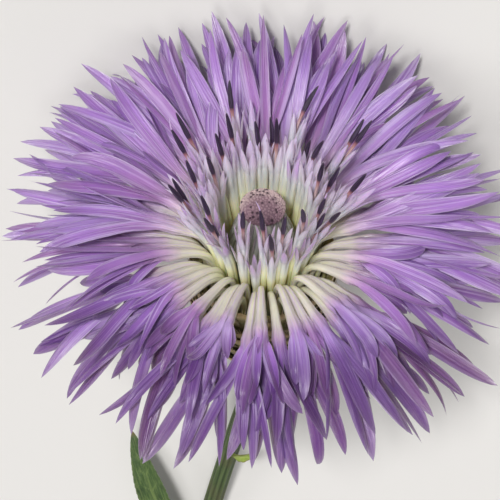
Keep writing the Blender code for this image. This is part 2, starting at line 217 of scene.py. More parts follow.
def coats(colour, *layers):
    """More coats over a colour: each is a value, its range, the amount at the range's end, and a tint."""
    for value, low, high, amount, tint in layers:
        colour = blend(spread(value, low, high, 0, amount), colour, tint)
    return colour


def ramp(value, *stops):
    """Colours along a value: stops are pairs of place and colour."""
    made = node(value.id_data, "ValToRGB", {0: value})
    band = made.color_ramp
    for _ in stops[2:]:
        band.elements.new(0.5)
    for element, (place, colour) in zip(band.elements, stops):
        element.position = place
        element.color = paint(*colour)
    return made.outputs[0]


def axes(tree, attribute):
    """The three numbers of one of the piece's own vectors."""
    read = node(tree, "Attribute", attribute_name=attribute)
    return node(tree, "SeparateXYZ", {0: read.outputs["Vector"]}).outputs


def new_group(name, inputs, outputs):
    """An empty node group with number inputs, given with their defaults, and number outputs."""
    group = bpy.data.node_groups.new(name, "ShaderNodeTree")
    for title in (*inputs, *outputs):
        way = "INPUT" if title in inputs else "OUTPUT"
        socket = group.interface.new_socket(title, in_out=way, socket_type="NodeSocketFloat")
        socket.default_value = inputs.get(title, 0)
    return group, group.nodes.new("NodeGroupInput"), group.nodes.new("NodeGroupOutput")


def make_fibre_group():
    """Long streaks that run along a piece: noise stretched along its lay. Across and Along are streaks
    per millimetre; Fibre is 0 to 1, and Fine is a thinner set of the same."""
    group, source, sink = new_group("Plant fibre", {"Across": 4, "Along": 0.15}, ["Fibre", "Fine"])
    lay = axes(group, "lay")
    for title, factor, detail in (("Fibre", 1, 2), ("Fine", 3.1, 3)):
        across = maths("MULTIPLY", lay[0], maths("MULTIPLY", source.outputs["Across"], factor))
        along = maths("MULTIPLY", lay[1], source.outputs["Along"])
        place = node(group, "CombineXYZ", {0: across, 1: along, 2: lay[2]}).outputs[0]
        noise = node(group, "TexNoise", {"Vector": place, "Scale": 1, "Detail": detail})
        wire(sink, {title: spread(noise.outputs[0], 0.32, 0.68)})
    return group


def make_mottle_group():
    """Soft blotches over a piece: two sizes of noise on its own coordinates. Size is in millimetres."""
    group, source, sink = new_group("Plant mottle", {"Size": 4}, ["Mottle", "Grain"])
    place = node(group, "TexCoord").outputs["Object"]
    for title, factor in (("Mottle", 1), ("Grain", 9)):
        sockets = {0: factor / MM, 1: source.outputs["Size"]}
        scale = node(group, "Math", sockets, operation="DIVIDE").outputs[0]
        noise = node(group, "TexNoise", {"Vector": place, "Scale": scale, "Detail": 3})
        wire(sink, {title: spread(noise.outputs[0], 0.3, 0.7)})
    return group


FIBRE = make_fibre_group()
MOTTLE = make_mottle_group()


def fibre(tree, across, along):
    """The fibre group at this many streaks per millimetre."""
    return node(tree, "Group", {"Across": across, "Along": along}, node_tree=FIBRE).outputs


def mottle(tree, size):
    """The mottle group with blotches of this many millimetres."""
    return node(tree, "Group", {"Size": size}, node_tree=MOTTLE).outputs


def new_finish(name, roughness, subsurface=0):
    """A material, its tree and the piece's tone, with the shader's numbers that hold all over."""
    material = bpy.data.materials.new(name)
    material.use_nodes = True
    tree = material.node_tree
    depths = {"Subsurface Radius": (1, 0.8, 0.7), "Subsurface Scale": 1.2 * MM}
    wire(tree.nodes[SHADER], {"Roughness": roughness, "Subsurface Weight": subsurface, **depths})
    return material, tree, axes(tree, "tone")


def finished(material, colour, height, depth):
    """The material with its colour, and a bump of this depth, in millimetres, from a height of 0 to 1."""
    tree = material.node_tree
    bump = node(tree, "Bump", {"Height": height, "Distance": depth * MM, "Strength": 1})
    wire(tree.nodes[SHADER], {"Base Color": colour, "Normal": bump.outputs[0]})
    return material


def stem_finish():
    material, tree, tone = new_finish("Stem skin", 0.5)
    streaks, blotches = fibre(tree, 3, 0.12), mottle(tree, 9)
    green = blend(tone[1], STEM_DARK, STEM_RIB)
    green = blend(spread(streaks[0], 0, 1, 0.35, 0.75), green, STEM_GREEN)
    green = coats(green, (blotches[0], 0.3, 1, 0.35, (96, 84, 62)))
    bark = (0.74, (168, 178, 118)), (0.93, RIND), (1, (70, 84, 48))
    cut = ramp(tone[2], (0, PITH), (0.62, PITH), *bark)
    colour = blend(spread(tone[0], -0.02, 0, 1, 0), green, cut)
    return finished(material, colour, maths("ADD", streaks[1], blotches[1]), 0.05)


def make_stem():
    """Radius = 2.5 plus a neck that dies away, times 1 less a ninth in each of ten round grooves, which
    turn a little along the stem. The cut is a dished end with a pith a third of a millimetre lower."""
    distances = np.concatenate([np.linspace(0, 20, 30), np.linspace(22, STEM_LENGTH, 60)])
    line = np.array([MOUTH + stem_line(distance) for distance in distances])
    distances = distances[:, None]
    sides = 16 * STEM_RIBS
    turns = FULL_TURN * np.arange(sides + 1)[None] / sides
    rib = np.sqrt(0.5 + 0.5 * np.cos(STEM_RIBS * turns + distances * 0.03))
    radius = (STEM_RADIUS + NECK_SWELL * np.exp(-distances / NECK_FADE)) * (0.89 + 0.11 * rib)
    side = rings(line, radius, sides, np.array([1, 0, 0]))
    shares = np.array([1, 0.965, 0.9, 0.7, 0.6, 0.3, 0])[:, None]
    sunk = np.array([0, 0.02, 0, 0.06, 0.3, 0.36, 0.38])[:, None, None]
    ahead = unit(line[-1] - line[-2])
    cut = line[-1] + (side[-1] - line[-1]) * shares[:, :, None] - ahead * sunk
    around = turns * STEM_RADIUS
    sheets = [
        sheet(side, (around, distances, 0), (distances / STEM_LENGTH, rib, 1), foot=line[0]),
        sheet(cut, (around, STEM_LENGTH, 3), (-1, 0.5, shares)),
    ]
    skin("stem_stalk", sheets, stem_finish(), ["stem"])


make_stem()


# Leaves: one lance-shaped stem leaf near the cut, and a small curled leaf on the neck. Each is a thin
# green blade with a midrib, side veins and a finely toothed edge, and grows straight out of the stem.

LEAF_LENGTH = 46
LEAF_WIDTH = 12
LEAF_FOLD = 0.22
BRACT_WIDTH = 4.4
LEAF_GREEN = (66, 92, 44)
LEAF_DARK = (40, 62, 32)
LEAF_VEIN = (128, 148, 86)
LEAF_RIM = (96, 116, 66)
BRACT_GREEN = (150, 172, 70)
BRACT_DARK = (122, 146, 62)
BRACT_VEIN = (186, 196, 112)
BRACT_BROWN = (112, 74, 46)
LEAF_TIP = (120, 88, 56)


def curve(start, middle, end, count):
    """Points of a quadratic Bezier curve."""
    t = np.linspace(0, 1, count)[:, None]
    return start * (1 - t) ** 2 + 2 * middle * t * (1 - t) + end * t ** 2


def make_blade(name, line, width, fold, facing, thickness, teeth, wave, material, slot, nodes):
    """Half-width = width times 0.1 (1-t)^3 + 1.05 t^0.7 (1-t)^0.8, nicked by small teeth. The section is
    a folded lens: both faces meet along the edges, the midrib stands out below and is sunk above."""
    t = np.linspace(0, 1, len(line))[:, None]
    u = np.linspace(-1, 1, 25)[None]
    half = width * (0.1 * (1 - t) ** 3 + 1.05 * t ** 0.7 * (1 - t) ** 0.8)
    outline = half * (1 - 0.045 * ((t * teeth) % 1) * np.abs(u) ** 8)
    along = unit(np.gradient(line, axis=0))
    side = unit(np.cross(along, facing))
    up = np.cross(side, along)[:, None]
    ripple = wave * half * np.abs(u) ** 2 * np.sin(t * 23 + 1.7 * np.sign(u))
    rise = fold * half * np.abs(u) ** 1.15 + ripple
    middle = line[:, None] + side[:, None] * (outline * u)[:, :, None] + up * rise[:, :, None]
    depth = thickness * (1 - u ** 2) * (1 - t ** 8)
    rib = np.exp(-(u * half / (0.09 * width)) ** 2) * (1 - t) ** 0.5 * (1 - t ** 8)
    veins = np.abs(((t * 9 - np.abs(u) * 0.9) % 1) - 0.5)
    veins = np.exp(-(veins / 0.09) ** 2) * (1 - u ** 2)
    above = middle + up * (0.5 * depth - 0.25 * thickness * rib - 0.12 * thickness * veins)[:, :, None]
    below = middle - up * (0.5 * depth + 0.9 * thickness * rib)[:, :, None]
    lay, tone = (u * half, t * LEAF_LENGTH, 0), (t, np.abs(u), np.maximum(rib, 0.7 * veins))
    sheets = [sheet(above, lay, tone, True, line[0]), sheet(below, lay, tone, False, line[0])]
    skin(name, sheets, material, nodes)


def leaf_finish(name, green, dark, vein, rim, rim_start):
    material, tree, tone = new_finish(name, 0.48, 0.08)
    streaks, blotches = fibre(tree, 2.2, 0.25), mottle(tree, 5)
    colour = coats(
        blend(spread(blotches[0], 0, 1, 0.25, 0.85), dark, green),
        (streaks[0], 0.2, 1, 0.3, vein),
        (tone[2], 0.25, 0.9, 0.75, vein),
        (tone[1], rim_start, 1, 0.8, rim),
        (tone[0], 0.955, 1, 0.8, LEAF_TIP),
    )
    return finished(material, colour, maths("ADD", streaks[1], blotches[1]), 0.06)


def make_leaves():
    """The stem leaf rises from the stem's side and arches forward. The neck leaf stands up and curls.
    A shape is the width, fold, facing, thickness, number of teeth, and wave of the edge."""
    on_axis = MOUTH + stem_line(STEM_LENGTH - 8)
    foot = on_axis + [-STEM_RADIUS + 0.6, 0, 0.4]
    middle = on_axis + [-9.7, 0.45 * LEAF_LENGTH, 9.6]
    line = curve(foot, middle, on_axis + [-15.7, 0.93 * LEAF_LENGTH, 3.6], 90)
    green = leaf_finish("Leaf blade", LEAF_GREEN, LEAF_DARK, LEAF_VEIN, LEAF_RIM, 0.9)
    shape = (LEAF_WIDTH, LEAF_FOLD, (-0.25, 0, 1), 0.6, 26, 0.035)
    make_blade("leaf_blade", line, *shape, green, "leaf_green", ["stem_leaf"])

    foot = MOUTH + stem_line(STEM_LENGTH / 2 - 2) + [0.3, -0.5, 0.75 * STEM_RADIUS]
    line = curve(foot, foot + [1, 2, 6], foot + [6.8, 4, 5.5], 50)
    pale = leaf_finish("Neck leaf blade", BRACT_GREEN, BRACT_DARK, BRACT_VEIN, BRACT_BROWN, 0.72)
    shape = (BRACT_WIDTH, 0.42, (-0.2, -0.5, 1), 0.5, 9, 0.06)
    make_blade("neck_leaf", line, *shape, pale, "bract_green", ["bract_leaf"])


make_leaves()


# Flower cup: the fleshy green receptacle, a rounded bowl whose floor carries every floret. It is set
# with stiff straw-coloured bristles between the florets.

CUP_RADIUS = 15
CUP_FOOT = 3.5
CUP_RIM = CUP_RADIUS - 0.2
CUP_WALL = 0.9
FLOOR = -10
FLOOR_RADIUS = 13.1
CUP_GREEN = (146, 152, 92)
CHAFF = 420
STRAW = (206, 182, 132)
HEAD_AXES = np.array([
    [1, 0, 0],
    [0, math.sin(HEAD_TILT), -math.cos(HEAD_TILT)],
    [0, math.cos(HEAD_TILT), math.sin(HEAD_TILT)],
])


def on_head(points):
    """Points of the head's own frame put in their place. Its origin is the middle of the cup's mouth,
    its third axis runs up the head, and its second points at the surface."""
    return MOUTH + points @ HEAD_AXES


def cup_side():
    """Outside of the cup from foot to rim: radius = 3.5 + 11.5 cos^0.9 of a turn from 78 degrees to 0,
    and the height falls with the turn's sine to the power 1.35."""
    turns = np.radians(np.linspace(0, 78, 40))[::-1]
    radius = CUP_FOOT + (CUP_RADIUS - CUP_FOOT) * np.cos(turns) ** 0.9
    height = -7 - 23 * (np.sin(turns) / math.sin(turns[0])) ** 1.35
    return np.concatenate([np.stack([radius, height], axis=1), [[CUP_RIM, -2]]])


CUP_SIDE = cup_side()


def turned(profile, sides):
    """Rows of (radius, height), from the outer foot to the axis, turned around the head's axis."""
    turns = FULL_TURN * np.append(np.arange(sides), 0) / sides
    return spoke(turns) * profile[:, :1, None] + UP * profile[:, 1:, None]


def cup_finish():
    material, tree, _ = new_finish("Cup flesh", 0.6, 0.08)
    blotches = mottle(tree, 3)
    return finished(material, blend(blotches[0], CUP_GREEN, (176, 168, 118)), blotches[1], 0.15)


def straw_finish():
    material, tree, tone = new_finish("Straw bristle", 0.45)
    colour = ramp(tone[0], (0, (150, 122, 86)), (0.5, STRAW), (1, (226, 212, 176)))
    colour = coats(colour, (tone[2], 0, 1, 0.45, (150, 112, 96)))
    return finished(material, colour, fibre(tree, 6, 0.5)[0], 0.03)


def spikes(foot, ahead, bend, length, radius, sides, stations, power=1):
    """Tapered spikes in one go, and the share along them: each leaves its foot along ahead and curves by
    bend times the share squared, and its radius falls as 1 less the share to the power."""
    t = np.linspace(0, 1, stations)[:, None]
    line = foot[:, None] + length[:, None, None] * (ahead[:, None] * t + bend[:, None] * t ** 2)
    along = unit(np.gradient(line, axis=1))
    across = unit(np.cross(along, [0.31, 0.52, 0.8]))
    turns = FULL_TURN * np.append(np.arange(sides), 0)[:, None] / sides
    spokes = np.cos(turns) * across[:, :, None] + np.sin(turns) * np.cross(along, across)[:, :, None]
    taper = np.clip(1 - t ** power, 0, 1) * radius[:, None, None]
    poles = np.broadcast_to(line[:, :1, None], (len(foot), 1, sides + 1, 3))
    tubes = np.concatenate([poles, line[:, :, None] + spokes * taper[:, :, :, None]], axis=1)
    return tubes, np.append(0, t)[:, None]


def make_cup():
    """The bowl is the neck, the outer side, a rounded lip, the inner wall and the floor, turned as one
    profile. Its bristles stand evenly over the floor and lean out a little."""
    turn = np.linspace(0, math.pi, 9)
    lip = np.stack([CUP_RIM - CUP_WALL / 2 * (1 - np.cos(turn)), -2 + 0.45 * np.sin(turn)], axis=1)
    wall = [[CUP_RIM - CUP_WALL, -4.5], [FLOOR_RADIUS, FLOOR], [FLOOR_RADIUS - 4, FLOOR], [0, FLOOR]]
    neck = [[0, -32.6], [3.15, -32.6], [3.4, -31.6], [4, -30.9], [4.9, -30.45]]
    bowl = turned(np.concatenate([neck, CUP_SIDE[1:], lip[1:], wall]), 96)
    sheets = [sheet(on_head(bowl), (0, 0, 0), (0.5, 0, 0.5))]
    skin("flower_cup", sheets, cup_finish(), ["receptacle_cup"])

    chance = np.random.default_rng(5)
    out = spoke(chance.uniform(0, FULL_TURN, CHAFF))
    foot = out * np.sqrt(chance.uniform(8.6 ** 2, 13.6 ** 2, (CHAFF, 1))) + UP * (FLOOR + 0.05)
    ahead = out * chance.uniform(-0.05, 0.16, (CHAFF, 1)) + chance.normal(0, 0.04, (CHAFF, 3))
    bend = out * chance.uniform(0, 0.18, (CHAFF, 1))
    length = chance.uniform(8, 14.5, CHAFF)
    tubes, t = spikes(foot, unit(ahead + UP), bend, length, chance.uniform(0.09, 0.17, CHAFF), 3, 5)
    tints = chance.uniform(0, 1, CHAFF)
    pairs = zip(tubes, tints)
    sheets = [sheet(on_head(tube), (0, t * 9, tint * 9), (t, 0.5, tint)) for tube, tint in pairs]
    skin("receptacle_bristles", sheets, STRAW_BRISTLE)


STRAW_BRISTLE = straw_finish()
make_cup()


# Involucre: overlapping rows of dry bracts (phyllaries) that hug the cup. Each is a green-based scale
# with a straw-coloured tip cut into a comb of stiff teeth. Every row sheathes the foot of the next, and
# small toothless bracts cover the cup's foot.

PHYLLARY_ROWS = 5
PHYLLARIES = 12
PHYLLARY_PITCH = 5.2
PHYLLARY_WIDTH = 2.9
PHYLLARY_TEETH = 7
SHOULDER = 0.55
BASAL_BRACTS = 9


def straw_scale_finish():
    material, tree, tone = new_finish("Straw bract", 0.5, 0.05)
    streaks = fibre(tree, 4, 0.2)
    colour = ramp(
        tone[0], (0, (148, 156, 92)), (0.3, (190, 180, 118)), (0.5, (214, 190, 130)),
        (0.64, (206, 172, 116)), (0.8, (226, 206, 160)), (1, (242, 232, 206)),
    )
    colour = coats(
        colour,
        (streaks[0], 0, 1, 0.4, (134, 108, 66)),
        (tone[1], 0.7, 1, 0.5, (232, 222, 190)),
        (tone[2], 0.2, 1, 0.25, (150, 128, 74)),
    )
    return finished(material, colour, streaks[1], 0.06)


def scale_faces(middle, normal, depth, lay, tone, foot=None):
    """Both faces of a thin scale, each half its depth from its middle."""
    faces = [on_head(middle + side * normal * depth[:, :, None]) for side in (0.5, -0.5)]
    return [sheet(face, lay, tone, under, foot) for face, under in zip(faces, (False, True))]


def phyllary_sheets(bearing, foot, lift, tint, chance):
    """One bract: half-width = 2.9 mm, narrowed a little at its foot by a sine, then past its shoulder
    narrowing to a blunt tip, on the cup's own radius plus a lift that grows from its sunk foot. A comb
    of teeth leaves its edge, each at a wider angle the lower it stands."""
    rows, columns = 13, 9
    t = np.linspace(0, 1, rows)[:, None]
    u = np.linspace(-1, 1, columns)[None]
    past = np.clip((t - SHOULDER) / (1 - SHOULDER), 0, 1)
    tip = 0.72 * np.sqrt(1 - past ** 2) + 0.28 * (1 - past)
    half = PHYLLARY_WIDTH * np.where(past > 0, tip, 0.86 + 0.14 * np.sin(t / SHOULDER * QUARTER))
    height = foot + t * 7
    rooted = 1 - smooth(t / 0.3)
    stand = 0.45 + lift - (1 + lift) * rooted + 1.25 * smooth((t - 0.3) / 0.5) + 0.35 * t ** 3
    radius = np.interp(height, CUP_SIDE[:, 1], CUP_SIDE[:, 0]) + stand
    radius = radius + 0.35 * (1 - u ** 2) * (1 - t ** 4)
    normal = spoke(bearing + half * u / radius)
    middle = normal * radius[:, :, None] + UP * height[:, :, None]
    depth = 0.34 * (1 - u ** 2) * (1 - t ** 6)
    lay, tone = (half * u, height, tint * 5), (0.62 * t, np.abs(u), tint)
    sheets = scale_faces(middle, normal, depth, lay, tone, on_head(middle[0, columns // 2]))

    share = np.linspace(-1, 1, 2 * PHYLLARY_TEETH + 1)
    fan = np.abs(share)[:, None]
    row = (0.97 - 0.42 * fan ** 1.2) * (rows - 1)
    low, part = np.floor(row[:, 0]).astype(int), row % 1
    side = np.where(share < 0, 0, columns - 1)
    edge, centre = (
        middle[low, at] * (1 - part) + middle[low + 1, at] * part for at in (side, columns // 2)
    )
    outwards = unit(edge - centre + 1e-6)
    up = unit(middle[-1, columns // 2] - middle[-3, columns // 2])
    ahead = unit(up * (1.15 - 0.6 * fan) + outwards * fan * 0.95 + normal[low, side] * 0.12)
    length = (2.9 - 1.2 * fan[:, 0]) * chance.uniform(0.85, 1.1, len(share))
    bend = up * 0.2 * fan + normal[low, side] * 0.16
    root = edge * 0.75 + centre * 0.25
    tubes, along = spikes(root, ahead, bend, length, np.full(len(share), 0.15), 3, 4, 1.3)
    lay, tone = (0, along * 3, tint), (0.62 + 0.38 * along, 0.3, tint)
    return sheets + [sheet(on_head(tube), lay, tone) for tube in tubes]


def basal_bract(bearing, out_to, tint):
    """A small toothless bract that lies on the foot of the cup: it follows the cup's profile outwards
    from the stem, its half-width is 2.2 mm times a sine to the power 0.6, and its tip lifts off."""
    t = np.linspace(0, 1, 15)[:, None]
    u = np.linspace(-1, 1, 9)[None]
    outline = np.concatenate([[[3.3, -31.4], [4.9, -30.45]], CUP_SIDE[1:14]])
    radius, height = (np.interp(t * out_to, lengths_along(outline), axis) for axis in outline.T)
    half = 2.2 * np.sin(math.pi * (0.16 + 0.84 * t)) ** 0.6
    rise = -0.9 + 1.5 * smooth(t / 0.4) + 0.35 * t ** 4 + 0.3 * (1 - u ** 2) * (1 - t ** 4)
    slope = math.radians(66) * (1 - 0.7 * t[:, :, None])
    out = spoke(bearing + half * u / np.maximum(radius, 3))
    normal = unit(out * np.cos(slope) - UP * np.sin(slope))
    middle = out * radius[:, :, None] + UP * height[:, :, None] + normal * rise[:, :, None]
    depth = 0.3 * (1 - u ** 2) * (1 - t ** 6)
    lay, tone = (half * u, t * out_to, tint * 5), (0.5 * t, np.abs(u), tint)
    return scale_faces(middle, normal, depth, lay, tone)


STRAW_SCALE = straw_scale_finish()
chance = np.random.default_rng(39)
scales = []
for shift, out_to in ((0, 9.5), (0.5, 6.2)):
    for index in range(BASAL_BRACTS):
        bearing = FULL_TURN / BASAL_BRACTS * (index + shift) + chance.normal(0, 0.04)
        scales += basal_bract(bearing, out_to + chance.uniform(-0.5, 0.5), chance.uniform())
skin("basal_bracts", scales, STRAW_SCALE)
for row in range(PHYLLARY_ROWS):
    chance = np.random.default_rng(40 + row)
    scales = []
    for half_step in range(2):
        foot = -28 + (row + 0.5 * half_step) * PHYLLARY_PITCH
        for index in range(PHYLLARIES):
            bearing = math.pi / PHYLLARIES * (2 * index + row % 2 + half_step) + chance.normal(0, 0.02)
            bract_foot = foot + chance.normal(0, 0.12)
            scales += phyllary_sheets(bearing, bract_foot, 0.25 * half_step, chance.uniform(), chance)
    skin(f"bract_row_{row + 1}", scales, STRAW_SCALE, [f"phyllary_row_{row + 1}"])


# Bud column: the florets that haven't opened stand in the middle of the disc as a tight sheaf of grey
# and green closed buds, with a few white bristles between them. The youngest end in the dome.

COLUMN_PROFILE = np.array([[6.3, -9.7], [7.1, 0], [8.1, 7], [6.9, 12.75], [4.9, 18.5]])
COLUMN_BUDS = 54
COLUMN_BRISTLES = 60
BUD_RADIUS = 0.66
BUD_GREY = (188, 190, 187)


def column_radius(height):
    """Radius of the sheaf at a height."""
    return np.interp(height, COLUMN_PROFILE[:, 1], COLUMN_PROFILE[:, 0])


def bud_finish():
    material, tree, tone = new_finish("Closed bud", 0.42, 0.05)
    streaks = fibre(tree, 5, 0.12)
    colour = ramp(
        tone[0], (0, (206, 208, 166)), (0.3, (186, 189, 172)), (0.6, BUD_GREY),
        (0.84, (176, 164, 172)), (1, (186, 164, 180)),
    )
    colour = coats(
        colour,
        (streaks[0], 0.35, 1, 0.6, (104, 108, 106)),
        (streaks[1], 0.5, 1, 0.5, (214, 218, 206)),
        (tone[2], 0.2, 1, 0.35, (98, 106, 96)),
    )
    return finished(material, colour, streaks[0], 0.08)


def make_column():
    """A dark core on the sheaf's profile, then buds in three tiers that follow the profile with a slight
    turn. A bud's radius = 0.66 mm times a sine to the power 0.4 of its length, with five soft ribs."""
    core = turned(np.concatenate([[[0, -9.7]], COLUMN_PROFILE - [0.9, 0], [[0, 18.4]]]), 60)
    sheets = [sheet(on_head(core), (0, 0, 0), (0.3, 0, 1))]
    chance = np.random.default_rng(9)
    t = np.linspace(0, 1, 16)
    turns = FULL_TURN * np.arange(16) / 15
    swell = np.clip(np.sin(math.pi * (0.08 + 0.92 * t)), 0, 1) ** 0.4
    girth = BUD_RADIUS * swell * (1 - 0.35 * t ** 2)
    girth[-1] = 0
    radii = girth[:, None] * (0.94 + 0.06 * np.cos(5 * turns))
    for index in range(COLUMN_BUDS):
        tier = index % 3
        low = (-4, 0.5, 5)[tier] + chance.uniform(-0.8, 0.8)
        high = (12, 16, 19.4)[tier] + chance.uniform(-0.8, 0.6)
        height = low + (high - low) * t
        bearing = FULL_TURN * index / COLUMN_BUDS + chance.normal(0, 0.03) + 0.16 * t
        radius = column_radius(height) - (0.35, 0.5, 0.7)[tier] - 0.3 * t ** 3
        line = spoke(bearing) * radius[:, None] + UP * height[:, None]
        tube = rings(line, radii, 15, spoke(bearing[0] + QUARTER))
        seed = chance.uniform()
        lay, tone = (turns * BUD_RADIUS, t[:, None] * 14, seed * 30), (t[:, None], 0.5, seed)
        sheets.append(sheet(on_head(tube), lay, tone, foot=on_head(line[0])))
    skin("bud_sheaf", sheets, bud_finish(), ["bud_column"])

    count = COLUMN_BRISTLES
    bearing = chance.uniform(0, FULL_TURN, count)
    height = chance.uniform(-1, 9, count)
    out = spoke(bearing)
    foot = out * (column_radius(height) + 0.1)[:, None] + UP * height[:, None]
    ahead = unit(out * 0.18 + spoke(bearing + QUARTER) * chance.uniform(-0.35, 0.35, (count, 1)) + UP)
    length = chance.uniform(3.5, 6.5, count)
    tubes, along = spikes(foot, ahead, -out * 0.12, length, np.full(count, 0.1), 3, 5)
    lay, tone = (0, along * 5, 0), (0.5 + 0.5 * along, 0.5, 0)
    pale = [sheet(on_head(tube), lay, tone) for tube in tubes]
    skin("sheaf_bristles", pale, STRAW_BRISTLE)


make_column()


# Bud dome: the tips of the youngest buds, packed in a rounded mauve-brown cap over the sheaf. Each is
# a tiny knob, paler towards the back and the sides, partly painted backlight, and plum at the front,
# partly painted shade; some are dark dots.

DOME_RADIUS = 5.3
DOME_BASE = 19
DOME_RISE = 3.4
DOME_KNOBS = 300
GOLDEN_ANGLE = math.pi * (3 - math.sqrt(5))
DOME_MAUVE = (158, 127, 138)
DOME_PLUM = (92, 62, 80)


def dome_finish():
    material, tree, tone = new_finish("Bud tips", 0.62, 0.05)
    blotches = mottle(tree, 1.6)
    stops = (0, (138, 108, 120)), (0.3, (146, 116, 128)), (0.7, DOME_MAUVE), (1, (168, 138, 147))
    # Plum at the front and pale at the back and sides: partly painted shade and painted backlight.
    colour = coats(
        blend(spread(tone[1], -0.2, 0.4, 0.7, 0), ramp(tone[0], *stops), DOME_PLUM),
        (tone[1], 0.4, 1, 1, (226, 202, 198)),
        (tone[2], 0.5, 0.95, 0.95, (56, 34, 48)),
        (blotches[0], 0.4, 1, 0.2, DOME_PLUM),
    )
    return finished(material, colour, blotches[1], 0.06)


def paleness_and_backlight(points):
    """How pale the dome is at points of the head's frame: paler towards its back and its two sides,
    partly painted backlight; where it is low, at the front, the dome turns plum, partly painted shade.
    """
    return 0.5 + 0.65 * points[..., 1] / DOME_RADIUS + 0.45 * (points[..., 0] / DOME_RADIUS) ** 2


def make_dome():
    """Knobs stand on a flattened half-ball at steps of the golden angle, so that they pack evenly. A
    knob is a half-ellipsoid, 0.6 mm wide at its foot, and its axis is the half-ball's normal."""
    turn = np.radians(np.linspace(0, 90, 10))
    core_rise = DOME_BASE + 0.6 + (DOME_RISE - 0.47) * np.sin(turn)
    cap = np.stack([(DOME_RADIUS - 0.22) * np.cos(turn), core_rise], axis=1)
    cap[-1, 0] = 0
    foot = [[0, DOME_BASE - 0.2], [DOME_RADIUS - 0.9, DOME_BASE - 0.2]]
    core = turned(np.concatenate([foot, cap]), 60)
    sheets = [sheet(on_head(core), (0, 0, 0), (0.2, paleness_and_backlight(core) - 0.1, 0.3))]
    chance = np.random.default_rng(12)
    number = np.arange(DOME_KNOBS) + 0.5
    bearing = number * GOLDEN_ANGLE + chance.normal(0, 0.05, DOME_KNOBS)
    share = np.sqrt(number / DOME_KNOBS) + chance.normal(0, 0.008, DOME_KNOBS)
    tilt = share[:, None] * math.radians(86)
    out = spoke(bearing) * np.sin(tilt)
    place = out * (DOME_RADIUS - 0.45) + UP * (DOME_BASE + 0.45 + (DOME_RISE - 0.45) * np.cos(tilt))
    normal = unit(out + UP * (1.35 * np.cos(tilt) + 0.12))
    size = 0.33 + 0.06 * share + chance.normal(0, 0.03, DOME_KNOBS)
    arc = np.radians([-25, 0, 30, 60, 90])[:, None]
    wide = np.where(arc < QUARTER, np.cos(arc), 0) * np.ones(9)
    reach = np.array([0.1, 0.45, 0.75, 0.95, 1])[:, None]
    for spot, ahead, girth, rim in zip(place, normal, size, share):
        line = spot + ahead * np.sin(arc) * girth * 1.1
        knob = rings(line, wide * girth, 8, np.cross(ahead, [0.2, 0.9, 0.1]))
        dot = chance.uniform() < 0.2 * (1.3 - rim)
        tone = (reach, paleness_and_backlight(spot), reach * dot)
        sheets.append(sheet(on_head(knob), (0, 0, 0), tone, foot=on_head(line[0])))
    skin("dome_of_buds", sheets, dome_finish(), ["bud_dome"])


make_dome()


# Disc florets: fertile, cream to pale lavender. A slim tube widens into five narrow upright lobes, from
# which a salmon collar and the dark plum tube of joined anthers stand out. They lean out of the cup.

# The main ring, the florets behind the dome, those outside at the back and sides, and those in front:
# their number, first bearing, step, ring, how far out they lean, what every second one adds to that,
# the range by which the tubes are longer, and their girth.
DISC_GROUPS = [
    (18, 10, 20, 9.05, 0, 1, (-2, 2), 1),
    (15, -1, 13, 8.4, -0.3, 0.2, (3, 6.5), 1.32),
    (14, -20, 17, 9.9, 0.5, 0.8, (-4, 1), 1),
    (8, 210, 17, 9.7, 0.4, 0, (-8, -2), 1),
]
DISC_TUBE = 22.5
DISC_EXTRA = 9.5
DISC_LOBES = 5
DISC_LOBE_ROWS = 12
DISC_LOBE_LENGTH = 8.2
ANTHER_LENGTH = 7.6
ANTHER_RISE = 7.6
TUBE_START = math.radians(82)
ANTHER_PLUM = (48, 32, 56)
COLLAR = (206, 158, 150)


def points_at(stations, travelled, line):
    """Points of a line at these stations, given the distance travelled to each of its own points."""
    return np.stack([np.interp(stations, travelled, axis) for axis in line.T], axis=1)


def tube_line(bearing, ring, end_rise, stations, bend):
    """A floret's line at these distances from the receptacle: it climbs at 82 degrees, and between the
    two distances of the bend it turns smoothly to its end rise."""
    travelled = np.linspace(0, stations[-1], 160)
    turned_by = smooth((travelled - bend[0]) / (bend[1] - bend[0]))
    steps = heading(bearing, TUBE_START + (end_rise - TUBE_START) * turned_by) * travelled[1]
    foot = spoke(bearing) * (ring + FLOOR / math.tan(TUBE_START)) + UP * (FLOOR + 0.3)
    return points_at(stations, travelled, foot + np.cumsum(steps, axis=0) - steps[0])


def lifted(points, clearance=0.22, softness=2):
    """How far points of the head's frame are raised so that none sinks into the surface: the height goes
    through a soft ramp, softness times log(1 + e^(height / softness))."""
    up = HEAD_AXES[:, 2]
    height = MOUTH[2] + points @ up - clearance
    return (softness * np.logaddexp(0, height / softness) - height)[..., None] * up


